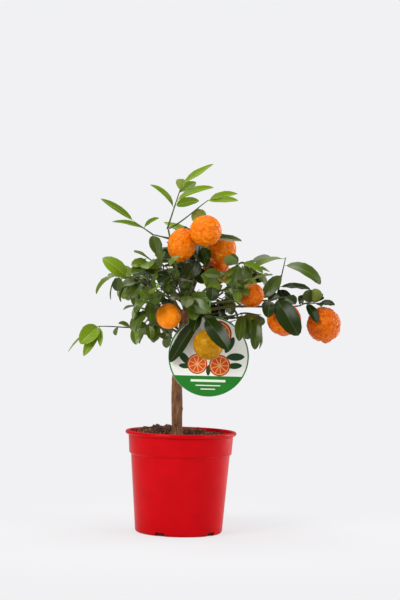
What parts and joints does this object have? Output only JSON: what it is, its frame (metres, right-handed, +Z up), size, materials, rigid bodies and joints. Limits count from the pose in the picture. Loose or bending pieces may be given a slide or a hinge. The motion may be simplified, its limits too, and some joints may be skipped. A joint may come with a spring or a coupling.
{
  "type": "potted red lime tree",
  "caption": "Small citrus tree with bumpy orange fruit, glossy leaves and a slim bare trunk, in a tapered red nursery pot with a round hanging label.",
  "frame": {"origin": "middle of the pot's flat underside, on the surface that it stands on", "axes": "+Z up along the pot's axis; the front, with the label, faces -Y; +X is to the right as seen from the front"},
  "size_m": [0.4905, 0.2975, 0.664],
  "materials": {
    "pot": "satin",
    "soil": "matte",
    "bark": "matte",
    "foliage": "glossy",
    "label": "satin"
  },
  "bodies": {
    "root": {"pot": "pot", "soil": "soil", "label": "label", "trunk": "bark", "bough_back": "bark", "bough_back_left": "bark", "bough_back_low": "bark", "bough_back_right": "bark", "bough_front_right": "bark", "bough_leader": "bark", "bough_left_high": "bark", "bough_left_low": "bark", "bough_left_mid": "bark", "bough_left_up": "bark", "bough_right_front": "bark", "bough_right_low": "bark", "bough_right_mid": "bark", "bough_right_under": "bark", "bough_right_up": "bark", "bough_top": "bark", "foliage_back": "foliage", "foliage_back_left": "foliage", "foliage_back_low": "foliage", "foliage_back_right": "foliage", "foliage_back_top": "foliage", "foliage_back_under": "foliage", "foliage_centre": "foliage", "foliage_centre_right": "foliage", "foliage_centre_up": "foliage", "foliage_crown_left": "foliage", "foliage_crown_right": "foliage", "foliage_crown_top": "foliage", "foliage_front_left": "foliage", "foliage_front_low": "foliage", "foliage_inner_left": "foliage", "foliage_inner_right": "foliage", "foliage_inner_up": "foliage", "foliage_left_fork": "foliage", "foliage_left_low": "foliage", "foliage_left_mid": "foliage", "foliage_left_under": "foliage", "foliage_left_up": "foliage", "foliage_right_end": "foliage", "foliage_right_far": "foliage", "foliage_right_mid": "foliage", "foliage_right_sprig": "foliage", "foliage_right_under": "foliage", "foliage_right_up": "foliage", "foliage_top_fruit": "foliage"}
  },
  "joints": []
}
